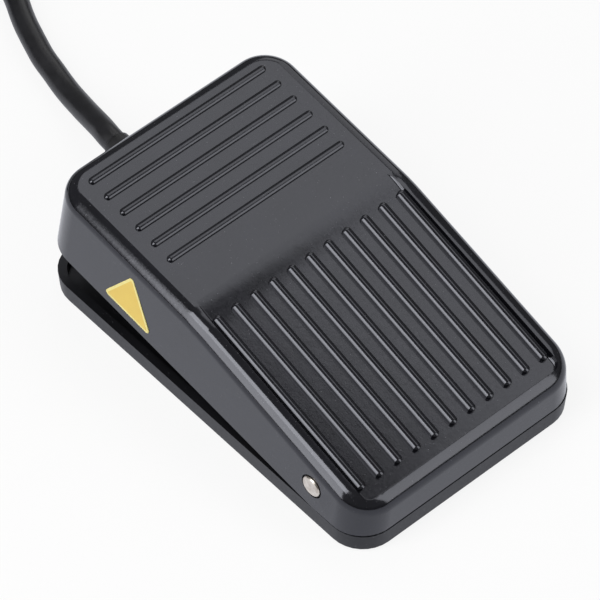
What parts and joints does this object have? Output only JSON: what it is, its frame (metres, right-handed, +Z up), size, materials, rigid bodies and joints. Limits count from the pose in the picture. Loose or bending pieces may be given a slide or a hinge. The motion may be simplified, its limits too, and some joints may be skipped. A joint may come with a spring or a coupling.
{
  "type": "foot switch",
  "caption": "Low pedal foot switch: a ribbed rocking cover hinged on a shallow tray, working a snap switch, with a coiled cable.",
  "frame": {"origin": "on the floor under the middle of the base tray, feet down", "axes": "X across the pedal, Y from the low hinge end towards the cable end, Z up"},
  "size_m": [0.0952, 0.2656, 0.0343],
  "materials": {
    "base_plastic": "moulded ABS, satin black",
    "cover_plastic": "moulded ABS, satin black",
    "foot_rubber": "matt black rubber",
    "sticker_vinyl": "printed vinyl, amber with a pale rim",
    "pin_steel": "nickel-plated steel",
    "ring_steel": "phosphated spring steel",
    "spring_steel": "drawn spring wire",
    "bracket_steel": "zinc-plated sheet steel",
    "screw_steel": "zinc-plated steel",
    "switch_plastic": "glass-filled moulding, matt",
    "lid_plastic": "glass-filled moulding, matt",
    "plunger_plastic": "moulded red",
    "lever_steel": "rolled stainless sheet",
    "terminal_brass": "stamped brass",
    "contact_bronze": "spring bronze",
    "sleeve_vinyl": "natural vinyl",
    "core_brown": "core insulation, brown",
    "core_blue": "core insulation, blue",
    "core_black": "core insulation, black",
    "clamp_plastic": "moulded nylon",
    "relief_vinyl": "soft moulded PVC",
    "cable_vinyl": "extruded PVC jacket, satin black",
    "tie_nylon": "nylon strap",
    "tinned_copper": "tinned copper strands"
  },
  "bodies": {
    "base": {"base_tray": "base_plastic", "rubber_feet": "foot_rubber", "hinge_pin": "pin_steel", "pin_rings": "ring_steel", "return_spring": "spring_steel", "switch_bracket": "bracket_steel", "bracket_screws": "screw_steel", "switch_case": "switch_plastic", "switch_lid": "lid_plastic", "switch_screws": "screw_steel", "switch_nuts": "screw_steel", "lever_pin": "pin_steel", "terminal_common": "terminal_brass", "terminal_closed": "terminal_brass", "terminal_open": "terminal_brass", "snap_spring": "contact_bronze", "terminal_sleeves": "sleeve_vinyl", "core_common": "core_brown", "core_closed": "core_blue", "core_open": "core_black", "cable_clamp": "clamp_plastic", "clamp_screws": "screw_steel", "strain_relief": "relief_vinyl", "cable_inner": "cable_vinyl", "cable": "cable_vinyl", "cable_coil": "cable_vinyl", "cable_tail": "cable_vinyl", "coil_tie": "tie_nylon", "tail_cores": "core_brown", "tinned_ends": "tinned_copper"},
    "pedal": {"pedal_cover": "cover_plastic", "side_sticker": "sticker_vinyl"},
    "lever": {"switch_lever": "lever_steel"},
    "plunger": {"switch_plunger": "plunger_plastic"},
    "arm": {"contact_arm": "contact_bronze"}
  },
  "joints": [
    {"name": "pedal_pivot", "type": "hinge", "parent": "base", "child": "pedal", "pos_m": [0, -0.035, 0.0112], "axis": [-1, 0, 0], "range_deg": [0, 6.4], "stiffness_Nm_per_rad": 4.3, "springref_deg": -6.42, "deforming": ["return_spring"]},
    {"name": "lever_pivot", "type": "hinge", "parent": "base", "child": "lever", "pos_m": [-0.0116, 0.014, 0.02025], "axis": [0, 1, 0], "range_deg": [0, 15.2]},
    {"name": "plunger_slide", "type": "slide", "parent": "base", "child": "plunger", "axis": [0, 0, -1], "range_m": [0, 0.0014], "deforming": ["snap_spring"]},
    {"name": "arm_pivot", "type": "hinge", "parent": "base", "child": "arm", "pos_m": [-0.0015, 0.014, 0.00995], "axis": [0, 1, 0], "range_deg": [0, 4.88]}
  ],
  "couplings": [
    {"joint": "lever_pivot", "follows": "pedal_pivot", "ratio": 2.3672},
    {"joint": "plunger_slide", "follows": "pedal_pivot", "m_per_rad": 0.01231},
    {"joint": "arm_pivot", "follows": "pedal_pivot", "ratio": 0.75858}
  ]
}
